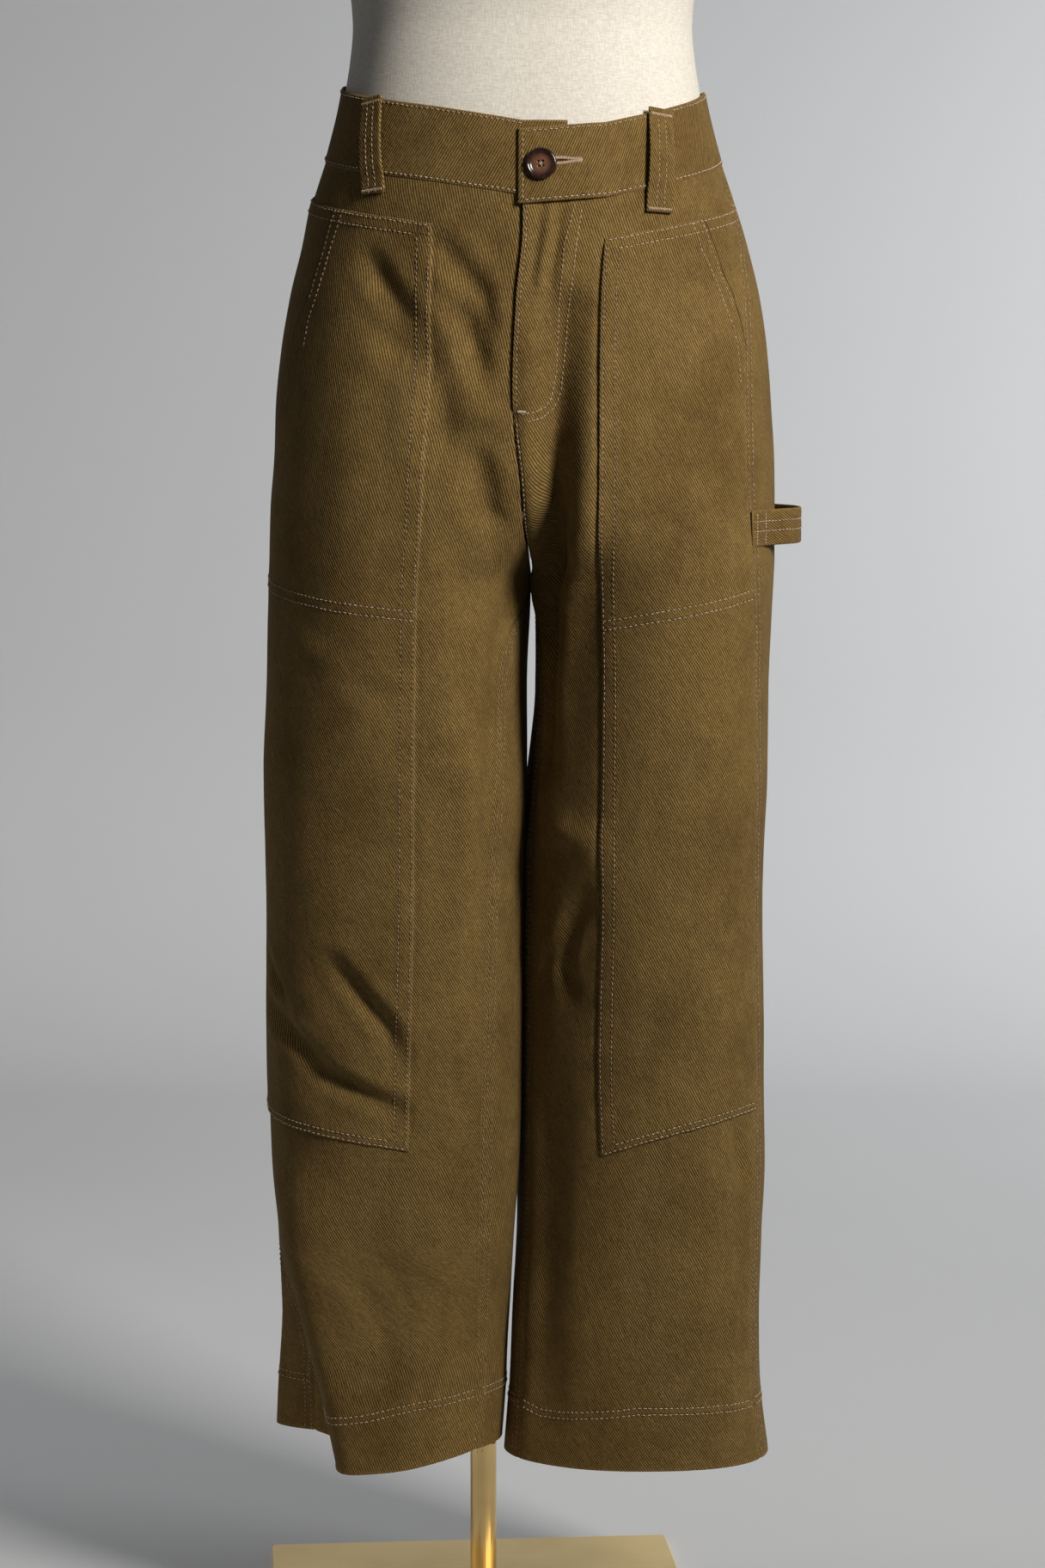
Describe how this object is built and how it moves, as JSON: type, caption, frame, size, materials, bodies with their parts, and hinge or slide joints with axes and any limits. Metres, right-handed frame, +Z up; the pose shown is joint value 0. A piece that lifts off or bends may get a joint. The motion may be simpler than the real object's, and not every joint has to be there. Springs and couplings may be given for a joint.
{
  "type": "utility trousers on a dress form",
  "caption": "Olive-brown wide-leg utility trousers with long front patches and a hammer loop, on a limbless dress form with a brass pole and square base plate.",
  "frame": {"origin": "On the floor, in the plane of the base plate's underside, under the line of the front closure and midway through the depth of the waist", "axes": "+X toward the wearer's left, which is the right as seen from the front. -Y is the front of the trousers. +Z is up"},
  "size_m": [0.4273, 0.36, 1.698],
  "materials": {
    "twill": "matt cotton twill",
    "zip_tape": "matt woven tape",
    "horn": "gloss",
    "form_cover": "matt linen",
    "polished_brass": "polished",
    "satin_brass": "satin"
  },
  "bodies": {
    "root": {"front_left": "twill", "front_right": "twill", "back_left": "twill", "back_right": "twill", "patch_left": "twill", "patch_right": "twill", "waistband": "twill", "belt_loop_front_left": "twill", "belt_loop_front_right": "twill", "belt_loop_back_left": "twill", "belt_loop_back_right": "twill", "belt_loop_back_middle": "twill", "hammer_loop": "twill", "fly_zip": "zip_tape", "button": "horn", "dress_form": "form_cover", "pole": "polished_brass", "base_plate": "satin_brass"}
  },
  "joints": []
}
